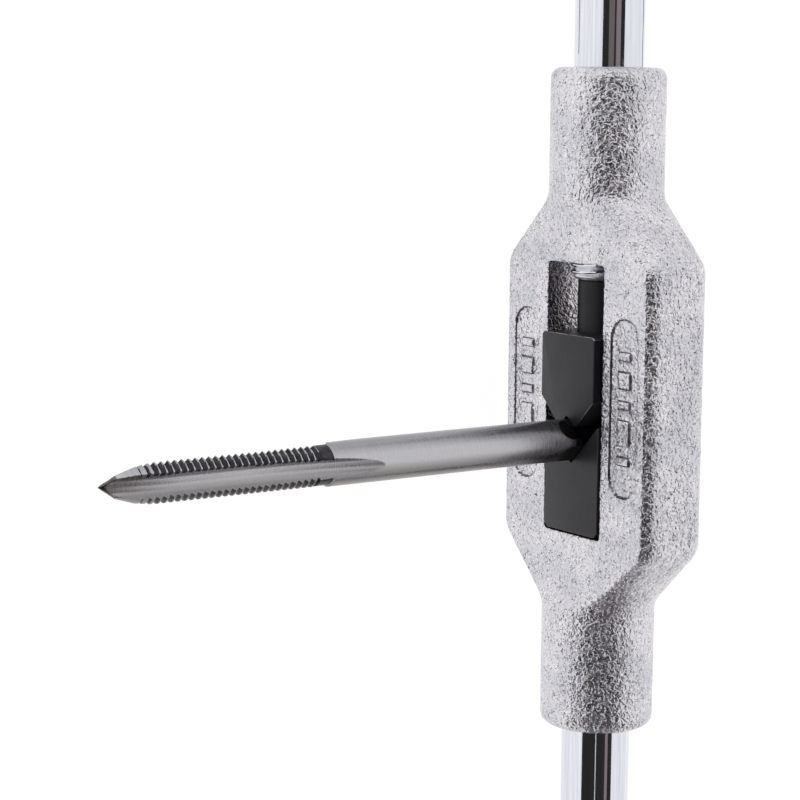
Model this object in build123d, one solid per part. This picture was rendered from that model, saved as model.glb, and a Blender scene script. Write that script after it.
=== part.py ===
from build123d import *
import math
import os

# Adjustable bar tap wrench, shown gripping a three-flute hand tap. Millimetres.
# The origin is where the tap's axis crosses the axis of the two handles.
# -X runs out along the adjusting handle, +X along the fixed handle.
# The tap points along -Y, and Z is the width of the cast body, which lies on its side at -Z.

# ---- driving dimensions -----------------------------------------------------------------------
OVERALL_LENGTH = 280.0

BODY_CENTRE_X = -5.2
BODY_LENGTH = 95.5
BOX_LENGTH = 40.5
SHOULDER_LENGTH = 9.0
BODY_WIDTH = 32.8
BODY_THICKNESS = 10.9
BODY_CORNER_RADIUS = 1.8
NECK_RADIUS = 8.25
NECK_END_RADIUS = 1.6
FLAT_HALF_ANGLE = 30.0      # how far round the neck each flat face reaches, degrees
CORNER_ANGLE = 38.0         # how far round the neck each rounded corner reaches, degrees

WINDOW_LENGTH = 39.1
WINDOW_CENTRE_X = -5.65
WINDOW_WIDTH = 12.4
WINDOW_CORNER_RADIUS = 0.8

PANEL_CENTRE_X = -5.55
PANEL_LENGTH = 25.2
PANEL_WIDTH = 5.6
PANEL_OFFSET_Z = 11.0
PANEL_DEPTH = 0.35
PANEL_BAR_LENGTHS = (1.2, 2.4, 1.2, 3.6, 1.2)
PANEL_BAR_GAP = 1.6
PANEL_BAR_WIDTH = 2.6

HANDLE_RADIUS = 5.0
HANDLE_END_CHAMFER = 1.2
GRIP_LENGTH = 32.0
GRIP_END_GAP = 7.0
GRIP_GROOVE_WIDTH = 1.0
GRIP_GROOVE_DEPTH = 0.35

SQUARE_NOMINAL = 4.9        # square size, across flats, that the jaws are closed on
FIXED_JAW_WIDTH = 12.2
FIXED_JAW_THICKNESS = 11.3  # almost flush with the flats of the body
FIXED_JAW_TIP_X = -2.3
FIXED_JAW_BACK_CHAMFER = 0.8    # clears the window's rounded corners
MOVABLE_JAW_WIDTH = 11.8
MOVABLE_JAW_THICKNESS = 13.2
MOVABLE_JAW_TIP_X = -2.0
MOVABLE_JAW_TIP_HALF_WIDTH = 2.0
MOVABLE_JAW_BACK_X = -15.2
MOVABLE_JAW_BACK_CHAMFER = 0.4

SCREW_END_X = -22.9
SCREW_THREAD_LENGTH = 26.0
SCREW_UNDERCUT_LENGTH = 2.0
SCREW_UNDERCUT_RADIUS = 4.3
SCREW_END_CHAMFER = 0.6
RUNNING_CLEARANCE = 0.05

STEM_RADIUS = 3.8
STEM_SPIGOT_RADIUS = 3.0
STEM_SPIGOT_LENGTH = 9.0
STEM_BORE_DEPTH = 8.0
STEM_GROOVE_X = -11.2
STEM_GROOVE_RADIUS = 2.5
STEM_GROOVE_WIDTH = 2.1
RETAINING_PIN_RADIUS = 1.0
RETAINING_PIN_LENGTH = 11.6

FIXED_HANDLE_DEPTH = 20.0
FIXED_JAW_SPIGOT_RADIUS = 4.0
FIXED_JAW_SPIGOT_LENGTH = 7.6
FIXED_JAW_PIN_RADIUS = 1.25
FIXED_JAW_PIN_X = 18.4
FIXED_JAW_PIN_FRONT_Y = -3.2
FIXED_JAW_PIN_BACK_Y = 6.1
FIXED_HANDLE_PIN_RADIUS = 1.5
FIXED_HANDLE_PIN_X = 33.6
FIXED_HANDLE_PIN_FRONT_Y = -6.2
FIXED_HANDLE_PIN_BACK_Y = 7.9

TAP_RADIUS = 3.0
TAP_SQUARE = 4.86           # a little under nominal, so it seats with clearance
TAP_REAR_Y = 5.0
TAP_REAR_CHAMFER = 0.5
TAP_SQUARE_END_Y = -7.1
TAP_THREAD_START_Y = -47.7
TAP_THREAD_RADIUS = 2.85    # crests of the thread, ground a little under the shank
TAP_LEAD_START_Y = -73.8
TAP_FIRST_THREAD_Y = -76.4
TAP_FIRST_THREAD_RADIUS = 2.45
TAP_POINT_Y = -79.2
TAP_POINT_RADIUS = 1.6
TAP_TIP_Y = -81.3
FLUTE_COUNT = 3
FLUTE_RADIUS = 1.7
FLUTE_CENTRE_RADIUS = 2.85
FLUTE_STRAIGHT_END_Y = -61.0
FLUTE_RUNOUT_RADIUS = 120.0
FLUTE_RUNOUT_ANGLE = 14.0
FLUTE_PHASE = 95.0          # direction of the first flute, degrees from -X towards +Z

# ---- dimensions worked out from those above ---------------------------------------------------
BODY_HALF_LENGTH = BODY_LENGTH / 2
BOX_HALF_LENGTH = BOX_LENGTH / 2
ADJUSTING_NECK_END_X = BODY_CENTRE_X - BODY_HALF_LENGTH
FIXED_NECK_END_X = BODY_CENTRE_X + BODY_HALF_LENGTH
WINDOW_FIXED_END_X = WINDOW_CENTRE_X + WINDOW_LENGTH / 2
ADJUSTING_HANDLE_END_X = BODY_CENTRE_X - OVERALL_LENGTH / 2
FIXED_HANDLE_END_X = BODY_CENTRE_X + OVERALL_LENGTH / 2
FIXED_HANDLE_INNER_X = FIXED_NECK_END_X - FIXED_HANDLE_DEPTH
STEM_TIP_X = MOVABLE_JAW_BACK_X + STEM_BORE_DEPTH - RUNNING_CLEARANCE
V_APEX_X = SQUARE_NOMINAL / math.sqrt(2)
CUT_MARGIN = 5.0


# ---- small helpers ----------------------------------------------------------------------------
def rod_along_x(radius, x_start, x_end):
    """A round bar on the handles' axis from x_start to x_end."""
    centre = (x_start + x_end) / 2
    return Pos(centre, 0, 0) * Rot(0, 90, 0) * Cylinder(radius, x_end - x_start)


def pin_along_y(radius, x, y_start, y_end):
    """A round pin square to the flats of the body."""
    centre = (y_start + y_end) / 2
    return Pos(x, centre, 0) * Rot(90, 0, 0) * Cylinder(radius, y_end - y_start)


def pin_along_z(radius, x, y, length):
    """A round pin across the width of the body."""
    return Pos(x, y, 0) * Cylinder(radius, length)


def turned_about_x(outline):
    """A turned part from (x, radius) points, listed in order, closed along the X axis."""
    face = make_face(Polyline(*outline, close=True))
    return revolve(face, Axis.X, 360)


def turned_about_y(outline):
    """A turned part from (radius, y) points, listed in order, closed along the Y axis."""
    face = make_face(Polyline(*outline, close=True))
    return revolve(face, Axis.Y, 360)


# ---- body casting -----------------------------------------------------------------------------
def box_section(x):
    """The body's rounded rectangle at x, as eight edges that start beside a front corner."""
    half_y = BODY_THICKNESS / 2
    half_z = BODY_WIDTH / 2
    radius = BODY_CORNER_RADIUS
    bulge = radius * (1 - math.sqrt(0.5))
    edges = []
    corners = ((-1, 1), (1, 1), (1, -1), (-1, -1))
    for index, (side_y, side_z) in enumerate(corners):
        on_flat = Vector(x, side_y * half_y, side_z * (half_z - radius))
        middle = Vector(x, side_y * (half_y - bulge), side_z * (half_z - bulge))
        on_side = Vector(x, side_y * (half_y - radius), side_z * half_z)
        start, end = (on_flat, on_side) if index % 2 == 0 else (on_side, on_flat)
        next_y, next_z = corners[(index + 1) % 4]
        if index % 2 == 0:
            following = Vector(x, next_y * (half_y - radius), next_z * half_z)
        else:
            following = Vector(x, next_y * half_y, next_z * (half_z - radius))
        edges.append(Edge.make_three_point_arc(start, middle, end))
        edges.append(Edge.make_line(end, following))
    return Face(Wire(edges))


def neck_section(x):
    """The neck's circle at x, cut into eight arcs that match the edges of box_section."""
    near = FLAT_HALF_ANGLE
    far = FLAT_HALF_ANGLE + CORNER_ANGLE
    stops = [near, far, 180 - far, 180 - near, 180 + near, 180 + far, 360 - far, 360 - near, 360 + near]

    def on_circle(angle):
        turn = math.radians(angle)
        return Vector(x, -NECK_RADIUS * math.cos(turn), NECK_RADIUS * math.sin(turn))

    edges = []
    for start, end in zip(stops, stops[1:]):
        middle = (start + end) / 2
        edges.append(Edge.make_three_point_arc(on_circle(start), on_circle(middle), on_circle(end)))
    return Face(Wire(edges))


def neck(x_inner, x_outer):
    """One round neck, with its outer end rounded."""
    low = min(x_inner, x_outer)
    high = max(x_inner, x_outer)
    bar = rod_along_x(NECK_RADIUS, low, high)
    outer_edge = bar.edges().filter_by(GeomType.CIRCLE).sort_by(Axis.X)
    edge = outer_edge[-1] if x_outer > x_inner else outer_edge[0]
    return fillet(edge, NECK_END_RADIUS)


def panel_recess(side_y, side_z):
    """A shallow obround panel in a flat, with a row of plain raised bars left standing in it."""
    flat_y = side_y * BODY_THICKNESS / 2
    centre_z = side_z * PANEL_OFFSET_Z
    half_run = (PANEL_LENGTH - PANEL_WIDTH) / 2
    recess = Pos(PANEL_CENTRE_X, flat_y, centre_z) * Box(2 * half_run, 2 * PANEL_DEPTH, PANEL_WIDTH)
    for end in (-1, 1):
        round_end = Rot(90, 0, 0) * Cylinder(PANEL_WIDTH / 2, 2 * PANEL_DEPTH)
        recess += Pos(PANEL_CENTRE_X + end * half_run, flat_y, centre_z) * round_end
    row_length = sum(PANEL_BAR_LENGTHS) + PANEL_BAR_GAP * (len(PANEL_BAR_LENGTHS) - 1)
    start = PANEL_CENTRE_X - row_length / 2
    for bar_length in PANEL_BAR_LENGTHS:
        bar = Box(bar_length, 4 * PANEL_DEPTH, PANEL_BAR_WIDTH)
        recess -= Pos(start + bar_length / 2, flat_y, centre_z) * bar
        start += bar_length + PANEL_BAR_GAP
    return recess


def window_cut():
    """The through window that holds the jaws, with small rounded corners."""
    block = Box(WINDOW_LENGTH, 4 * NECK_RADIUS, WINDOW_WIDTH)
    block = fillet(block.edges().filter_by(Axis.Y), WINDOW_CORNER_RADIUS)
    return Pos(WINDOW_CENTRE_X, 0, 0) * block


def body_casting():
    """The one-piece cast body: box section, lofted shoulders, round necks, window and bores."""
    adjusting_box_x = BODY_CENTRE_X - BOX_HALF_LENGTH
    fixed_box_x = BODY_CENTRE_X + BOX_HALF_LENGTH
    adjusting_neck_x = adjusting_box_x - SHOULDER_LENGTH
    fixed_neck_x = fixed_box_x + SHOULDER_LENGTH
    body = extrude(box_section(adjusting_box_x), BOX_LENGTH, dir=(1, 0, 0))
    body += loft([neck_section(adjusting_neck_x), box_section(adjusting_box_x)], ruled=True)
    body += loft([box_section(fixed_box_x), neck_section(fixed_neck_x)], ruled=True)
    body += neck(adjusting_neck_x, ADJUSTING_NECK_END_X)
    body += neck(fixed_neck_x, FIXED_NECK_END_X)
    body -= window_cut()
    for side_y in (-1, 1):
        for side_z in (-1, 1):
            body -= panel_recess(side_y, side_z)
    screw_hole = HANDLE_RADIUS + RUNNING_CLEARANCE
    body -= rod_along_x(screw_hole, ADJUSTING_NECK_END_X - CUT_MARGIN, BODY_CENTRE_X)
    body -= rod_along_x(HANDLE_RADIUS, FIXED_HANDLE_INNER_X, FIXED_NECK_END_X + CUT_MARGIN)
    body -= rod_along_x(FIXED_JAW_SPIGOT_RADIUS, BODY_CENTRE_X, FIXED_HANDLE_INNER_X)
    body -= pin_along_y(
        FIXED_JAW_PIN_RADIUS, FIXED_JAW_PIN_X, FIXED_JAW_PIN_FRONT_Y, NECK_RADIUS + CUT_MARGIN
    )
    body -= pin_along_y(
        FIXED_HANDLE_PIN_RADIUS, FIXED_HANDLE_PIN_X, FIXED_HANDLE_PIN_FRONT_Y, NECK_RADIUS + CUT_MARGIN
    )
    return body


# ---- handles ----------------------------------------------------------------------------------
def grip_outline(end_x, inward):
    """Profile points of a handle's outer end, from its tip to the inner groove of the grip."""
    radius = HANDLE_RADIUS
    low = radius - GRIP_GROOVE_DEPTH
    points = [(end_x, 0), (end_x, radius - HANDLE_END_CHAMFER)]
    points.append((end_x + inward * HANDLE_END_CHAMFER, radius))
    groove_starts = (GRIP_END_GAP, GRIP_END_GAP + GRIP_GROOVE_WIDTH + GRIP_LENGTH)
    for start in groove_starts:
        near = end_x + inward * start
        far = near + inward * GRIP_GROOVE_WIDTH
        points += [(near, radius), (near, low), (far, low), (far, radius)]
    return points


def adjusting_handle():
    """The long screw: grip and plain bar outside the body, M10 thread inside it."""
    thread_start_x = SCREW_END_X - SCREW_THREAD_LENGTH
    undercut_x = thread_start_x - SCREW_UNDERCUT_LENGTH
    outline = grip_outline(ADJUSTING_HANDLE_END_X, 1)
    outline += [
        (undercut_x, HANDLE_RADIUS),
        (undercut_x, SCREW_UNDERCUT_RADIUS),
        (thread_start_x, SCREW_UNDERCUT_RADIUS),
        (thread_start_x + SCREW_END_CHAMFER, HANDLE_RADIUS),
        (SCREW_END_X - SCREW_END_CHAMFER, HANDLE_RADIUS),
        (SCREW_END_X, HANDLE_RADIUS - SCREW_END_CHAMFER),
        (SCREW_END_X, 0),
    ]
    bar = turned_about_x(outline)
    bar -= rod_along_x(STEM_SPIGOT_RADIUS, SCREW_END_X - STEM_SPIGOT_LENGTH, SCREW_END_X + CUT_MARGIN)
    return bar


def swivel_stem():
    """The turned stem in the screw's end; its groove turns between the jaw's two pins."""
    groove_start_x = STEM_GROOVE_X - STEM_GROOVE_WIDTH / 2
    groove_end_x = STEM_GROOVE_X + STEM_GROOVE_WIDTH / 2
    spigot_end_x = SCREW_END_X - STEM_SPIGOT_LENGTH
    return turned_about_x([
        (spigot_end_x, 0),
        (spigot_end_x, STEM_SPIGOT_RADIUS),
        (SCREW_END_X, STEM_SPIGOT_RADIUS),
        (SCREW_END_X, STEM_RADIUS),
        (groove_start_x, STEM_RADIUS),
        (groove_start_x, STEM_GROOVE_RADIUS),
        (groove_end_x, STEM_GROOVE_RADIUS),
        (groove_end_x, STEM_RADIUS),
        (STEM_TIP_X - SCREW_END_CHAMFER, STEM_RADIUS),
        (STEM_TIP_X, STEM_RADIUS - SCREW_END_CHAMFER),
        (STEM_TIP_X, 0),
    ])


def fixed_handle():
    """The plain handle, screwed into the neck up to its inner end and pinned there."""
    outline = grip_outline(FIXED_HANDLE_END_X, -1)
    outline += [
        (FIXED_HANDLE_INNER_X + SCREW_END_CHAMFER, HANDLE_RADIUS),
        (FIXED_HANDLE_INNER_X, HANDLE_RADIUS - SCREW_END_CHAMFER),
        (FIXED_HANDLE_INNER_X, 0),
    ]
    bar = turned_about_x(outline)
    pin_hole = pin_along_y(
        FIXED_HANDLE_PIN_RADIUS, FIXED_HANDLE_PIN_X, FIXED_HANDLE_PIN_FRONT_Y, FIXED_HANDLE_PIN_BACK_Y
    )
    return bar - pin_hole


def fixed_handle_pin():
    """Cross pin from the back of the neck that keeps the fixed handle from turning out."""
    return pin_along_y(
        FIXED_HANDLE_PIN_RADIUS, FIXED_HANDLE_PIN_X, FIXED_HANDLE_PIN_FRONT_Y, FIXED_HANDLE_PIN_BACK_Y
    )


# ---- jaws -------------------------------------------------------------------------------------
def jaw_block(outline, thickness):
    """A jaw of the given thickness from its (x, z) outline."""
    points = [(x, 0, z) for x, z in outline]
    face = make_face(Polyline(*points, close=True))
    return extrude(face, thickness / 2, dir=(0, 1, 0), both=True)


def fixed_jaw():
    """The fixed jaw: a right-angled V across its whole width, and a round spigot behind."""
    half_width = FIXED_JAW_WIDTH / 2
    tip_z = V_APEX_X - FIXED_JAW_TIP_X
    jaw = jaw_block([
        (V_APEX_X, 0),
        (FIXED_JAW_TIP_X, tip_z),
        (FIXED_JAW_TIP_X, half_width),
        (WINDOW_FIXED_END_X - FIXED_JAW_BACK_CHAMFER, half_width),
        (WINDOW_FIXED_END_X, half_width - FIXED_JAW_BACK_CHAMFER),
        (WINDOW_FIXED_END_X, -half_width + FIXED_JAW_BACK_CHAMFER),
        (WINDOW_FIXED_END_X - FIXED_JAW_BACK_CHAMFER, -half_width),
        (FIXED_JAW_TIP_X, -half_width),
        (FIXED_JAW_TIP_X, -tip_z),
    ], FIXED_JAW_THICKNESS)
    spigot_end_x = WINDOW_FIXED_END_X + FIXED_JAW_SPIGOT_LENGTH
    jaw += rod_along_x(FIXED_JAW_SPIGOT_RADIUS, WINDOW_FIXED_END_X - CUT_MARGIN, spigot_end_x)
    return jaw - fixed_jaw_pin()


def fixed_jaw_pin():
    """Cross pin from the back of the body through the fixed jaw's spigot."""
    return pin_along_y(
        FIXED_JAW_PIN_RADIUS, FIXED_JAW_PIN_X, FIXED_JAW_PIN_FRONT_Y, FIXED_JAW_PIN_BACK_Y
    )


def retaining_pin(side_y):
    """One of the two pins that straddle the groove of the stem."""
    y = side_y * (STEM_GROOVE_RADIUS + RETAINING_PIN_RADIUS + RUNNING_CLEARANCE)
    return pin_along_z(RETAINING_PIN_RADIUS, STEM_GROOVE_X, y, RETAINING_PIN_LENGTH)


def movable_jaw():
    """The sliding jaw: a notched nose that enters the fixed jaw's V, and a bore for the stem."""
    half_width = MOVABLE_JAW_WIDTH / 2
    tip_z = V_APEX_X + MOVABLE_JAW_TIP_X
    shoulder_x = MOVABLE_JAW_TIP_X - (half_width - MOVABLE_JAW_TIP_HALF_WIDTH)
    jaw = jaw_block([
        (-V_APEX_X, 0),
        (MOVABLE_JAW_TIP_X, tip_z),
        (MOVABLE_JAW_TIP_X, MOVABLE_JAW_TIP_HALF_WIDTH),
        (shoulder_x, half_width),
        (MOVABLE_JAW_BACK_X + MOVABLE_JAW_BACK_CHAMFER, half_width),
        (MOVABLE_JAW_BACK_X, half_width - MOVABLE_JAW_BACK_CHAMFER),
        (MOVABLE_JAW_BACK_X, -half_width + MOVABLE_JAW_BACK_CHAMFER),
        (MOVABLE_JAW_BACK_X + MOVABLE_JAW_BACK_CHAMFER, -half_width),
        (shoulder_x, -half_width),
        (MOVABLE_JAW_TIP_X, -MOVABLE_JAW_TIP_HALF_WIDTH),
        (MOVABLE_JAW_TIP_X, -tip_z),
    ], MOVABLE_JAW_THICKNESS)
    bore_end_x = MOVABLE_JAW_BACK_X + STEM_BORE_DEPTH
    jaw -= rod_along_x(STEM_RADIUS + RUNNING_CLEARANCE, MOVABLE_JAW_BACK_X - CUT_MARGIN, bore_end_x)
    for side_y in (-1, 1):
        jaw -= retaining_pin(side_y)
    return jaw


# ---- tap --------------------------------------------------------------------------------------
def flute_cutter():
    """The path of a flute: a round-bottomed groove that runs out of the shank on an arc."""
    straight_start = TAP_TIP_Y - CUT_MARGIN
    straight_length = FLUTE_STRAIGHT_END_Y - straight_start
    straight_centre = (straight_start + FLUTE_STRAIGHT_END_Y) / 2
    groove = Pos(-FLUTE_CENTRE_RADIUS, straight_centre, 0) * Rot(90, 0, 0)
    cutter = groove * Cylinder(FLUTE_RADIUS, straight_length)
    profile_plane = Plane(
        origin=(-FLUTE_CENTRE_RADIUS, FLUTE_STRAIGHT_END_Y, 0), x_dir=(1, 0, 0), z_dir=(0, 1, 0)
    )
    profile = profile_plane * Circle(FLUTE_RADIUS)
    pivot = Axis((-FLUTE_CENTRE_RADIUS - FLUTE_RUNOUT_RADIUS, FLUTE_STRAIGHT_END_Y, 0), (0, 0, 1))
    cutter += revolve(profile, pivot, FLUTE_RUNOUT_ANGLE)
    return cutter


def tap():
    """A three-flute hand tap, its thread left as a plain round land at the crests' size."""
    blank = turned_about_y([
        (0, TAP_REAR_Y),
        (TAP_RADIUS - TAP_REAR_CHAMFER, TAP_REAR_Y),
        (TAP_RADIUS, TAP_REAR_Y - TAP_REAR_CHAMFER),
        (TAP_RADIUS, TAP_THREAD_START_Y),
        (TAP_THREAD_RADIUS, TAP_THREAD_START_Y),
        (TAP_THREAD_RADIUS, TAP_LEAD_START_Y),
        (TAP_FIRST_THREAD_RADIUS, TAP_FIRST_THREAD_Y),
        (TAP_POINT_RADIUS, TAP_POINT_Y),
        (0, TAP_TIP_Y),
    ])
    square_length = TAP_REAR_Y - TAP_SQUARE_END_Y
    square_centre = (TAP_REAR_Y + TAP_SQUARE_END_Y) / 2
    round_stock = Rot(90, 0, 0) * Cylinder(2 * TAP_RADIUS, square_length)
    square_stock = Rot(0, 45, 0) * Box(TAP_SQUARE, square_length, TAP_SQUARE)
    blank -= Pos(0, square_centre, 0) * (round_stock - square_stock)
    for index in range(FLUTE_COUNT):
        blank -= Rot(0, FLUTE_PHASE + index * 360 / FLUTE_COUNT, 0) * flute_cutter()
    return blank


# ---- the assembly -----------------------------------------------------------------------------
nodes = {
    "body_casting": body_casting(),
    "fixed_handle": fixed_handle(),
    "fixed_handle_pin": fixed_handle_pin(),
    "fixed_jaw": fixed_jaw(),
    "fixed_jaw_pin": fixed_jaw_pin(),
    "movable_jaw": movable_jaw(),
    "jaw_retaining_pins": Compound(children=[retaining_pin(-1), retaining_pin(1)]),
    "adjusting_handle": adjusting_handle(),
    "swivel_stem": swivel_stem(),
    "tap": tap(),
}

os.makedirs("parts", exist_ok=True)
for name, shape in nodes.items():
    export_step(shape, f"parts/{name}.step")
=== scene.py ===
import math

import bmesh
import bpy
import numpy as np
from mathutils import Matrix, Vector, noise


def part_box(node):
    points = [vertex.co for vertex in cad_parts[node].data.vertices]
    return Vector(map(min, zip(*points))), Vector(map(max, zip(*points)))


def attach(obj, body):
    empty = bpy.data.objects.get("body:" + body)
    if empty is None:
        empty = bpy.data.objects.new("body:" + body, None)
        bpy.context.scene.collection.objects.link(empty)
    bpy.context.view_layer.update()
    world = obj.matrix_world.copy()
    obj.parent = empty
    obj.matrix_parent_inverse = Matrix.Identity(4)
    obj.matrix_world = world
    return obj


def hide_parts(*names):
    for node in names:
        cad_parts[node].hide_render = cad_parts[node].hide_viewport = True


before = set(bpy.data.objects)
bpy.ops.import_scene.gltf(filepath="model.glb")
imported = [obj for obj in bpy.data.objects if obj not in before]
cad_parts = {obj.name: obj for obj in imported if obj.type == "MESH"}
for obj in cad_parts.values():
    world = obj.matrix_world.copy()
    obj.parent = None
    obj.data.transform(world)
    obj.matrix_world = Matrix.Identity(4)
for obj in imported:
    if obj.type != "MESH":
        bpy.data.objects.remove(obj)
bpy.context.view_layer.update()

# Shapes are worked out in millimetres, in the frame's own axes, and written to meshes in metres.
# -X runs out along the adjusting handle, +X along the fixed handle, the tap points along -Y,
# and the wrench lies on its side, with its width along Z.
MM = 0.001


def box_mm(node):
    """The lowest and highest corner of a CAD node, in millimetres."""
    low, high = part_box(node)
    return low / MM, high / MM


BODY_LOW, BODY_HIGH = box_mm("body_casting")
ADJUSTING_LOW, ADJUSTING_HIGH = box_mm("adjusting_handle")
FIXED_LOW, FIXED_HIGH = box_mm("fixed_handle")
STEM_LOW, STEM_HIGH = box_mm("swivel_stem")
MOVABLE_LOW, MOVABLE_HIGH = box_mm("movable_jaw")
FIXED_JAW_HIGH = box_mm("fixed_jaw")[1]
TAP_LOW, TAP_HIGH = box_mm("tap")

# ---- sizes in millimetres that the boxes don't give ----
BOX_HALF_LENGTH = 20.25
SHOULDER_LENGTH = 9.0
BODY_THICKNESS = 10.9
BODY_CORNER_RADIUS = 3.0
BODY_CORNER_START = 40.0      # degrees: the corner leaves the flat with a crisp edge
NECK_END_ROUNDING = 1.9
FLAT_HALF_ANGLE = 38.0
CORNER_HALF_ANGLE = 68.0
WINDOW_LENGTH = 39.1
WINDOW_CENTRE_X = -5.65
WINDOW_WIDTH = 12.4
WINDOW_CORNER_RADIUS = 0.45
PANEL_CENTRE_X = -5.55
PANEL_LENGTH = 25.2
PANEL_WIDTH = 5.6
PANEL_OFFSET_Z = 11.0
PANEL_DEPTH = 0.34
THREAD_PITCH = 1.0
SCREW_THREAD_LENGTH = 26.0
SCREW_UNDERCUT_LENGTH = 2.0
SCREW_UNDERCUT_RADIUS = 4.3
GRIP_LENGTH = 32.0
GRIP_END_GAP = 7.0
GRIP_GROOVE_WIDTH = 1.0
GRIP_GROOVE_DEPTH = 0.35
STEM_GROOVE_X = -11.2
STEM_GROOVE_WIDTH = 2.1
STEM_GROOVE_RADIUS = 2.5
STEM_SPIGOT_RADIUS = 3.0
STEM_EDGE = 0.25
STEM_TIP_CHAMFER = 0.6
SQUARE_NOMINAL = 4.9
V_APEX_X = SQUARE_NOMINAL / math.sqrt(2)
RUNNING_GAP = 0.05
FIT_GAP = 0.02

HANDLE_RADIUS = ADJUSTING_HIGH.z
NECK_RADIUS = BODY_HIGH.y
BODY_HALF_WIDTH = BODY_HIGH.z
BODY_CENTRE_X = (BODY_LOW.x + BODY_HIGH.x) / 2
BODY_HALF_LENGTH = (BODY_HIGH.x - BODY_LOW.x) / 2


# ---- mesh helpers ----
def link_object(name, data):
    """A new object in the scene."""
    made = bpy.data.objects.new(name, data)
    bpy.context.scene.collection.objects.link(made)
    return made


def mesh_mm(name, points, faces):
    """A mesh in metres from points in millimetres."""
    mesh = bpy.data.meshes.new(name)
    mesh.from_pydata((np.asarray(points) * MM).tolist(), [], faces)
    return mesh


CREASE = 35.0                 # degrees


def add_piece(name, points, faces, materials, body, slot, node, crease=CREASE):
    """A mesh piece from points in millimetres, riding on a body in place of a CAD node."""
    mesh = mesh_mm(name, points, faces)
    mesh.validate()
    return finish_piece(name, mesh, materials, body, node, crease)


def finish_piece(name, mesh, materials, body, node, crease=CREASE):
    """Shades a mesh smoothly between its creases and hands it to the frame."""
    mesh.shade_smooth()
    mesh.set_sharp_from_angle(angle=math.radians(crease))
    for material in materials:
        mesh.materials.append(material)
    piece = link_object(name, mesh)
    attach(piece, body)
    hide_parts(node)
    return piece


def give_finishes(piece, slots):
    """Sets which finish each side face of a turned piece has; its caps keep the first."""
    indices = np.zeros(len(piece.data.polygons), dtype=np.int32)
    indices[:slots.size] = slots.ravel()
    piece.data.polygons.foreach_set("material_index", indices)


AXIS_ORDER = {"X": (0, 1, 2), "Y": (1, 2, 0), "Z": (2, 0, 1)}


def turned_grid(axis, stations, radius, centre=(0.0, 0.0, 0.0)):
    """Points and faces of a closed body round an axis: one ring per station, a cap at each end.

    radius has one row per station and one column per direction round the axis.
    """
    along, first, second = AXIS_ORDER[axis]
    rows, columns = radius.shape
    turn = np.linspace(0, 2 * math.pi, columns, endpoint=False)
    points = np.zeros((rows, columns, 3))
    points[:, :, along] = np.asarray(stations)[:, None]
    points[:, :, first] = radius * np.cos(turn)
    points[:, :, second] = radius * np.sin(turn)
    points = points.reshape(-1, 3)
    caps = np.zeros((2, 3))
    caps[0, along] = stations[0]
    caps[1, along] = stations[-1]
    points = np.vstack([points, caps]) + np.asarray(centre)
    ring = np.arange(columns)
    following = (ring + 1) % columns
    faces = []
    for row in range(rows - 1):
        base = row * columns
        above = base + columns
        quads = np.stack([base + ring, base + following, above + following, above + ring], axis=1)
        faces += quads.tolist()
    first_cap = rows * columns
    last = (rows - 1) * columns
    faces += np.stack([following, ring, np.full(columns, first_cap)], axis=1).tolist()
    faces += np.stack([last + ring, last + following, np.full(columns, first_cap + 1)], axis=1).tolist()
    return points, faces


def steps(start, end, pitch):
    """Evenly spaced stations from start to end, about pitch apart, without the end itself."""
    count = max(1, round(abs(end - start) / pitch))
    return np.linspace(start, end, count, endpoint=False)


def round_edge(x_face, radius_full, rounding, inward, count):
    """(station, radius) pairs round the edge between an end face and a bar's side."""
    pairs = []
    for angle in np.linspace(0, math.pi / 2, count):
        x = x_face + inward * rounding * (1 - math.sin(angle))
        pairs.append((x, radius_full - rounding * (1 - math.cos(math.pi / 2 - angle))))
    return pairs


def saw(value):
    """0 at whole numbers, rising to 1 half way between them."""
    return 1 - np.abs(2 * (value - np.floor(value)) - 1)


FLANK_CURVE = 0.9


def thread_radius(x, turn, crest, depth, flat):
    """Radius of a right-hand 60 degree thread; flat above 1 gives its crest a narrow flat."""
    height = saw(x / THREAD_PITCH - turn / (2 * math.pi))
    height = np.clip(height * flat, 0, 1)
    return crest - depth * (1 - height) ** FLANK_CURVE


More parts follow.
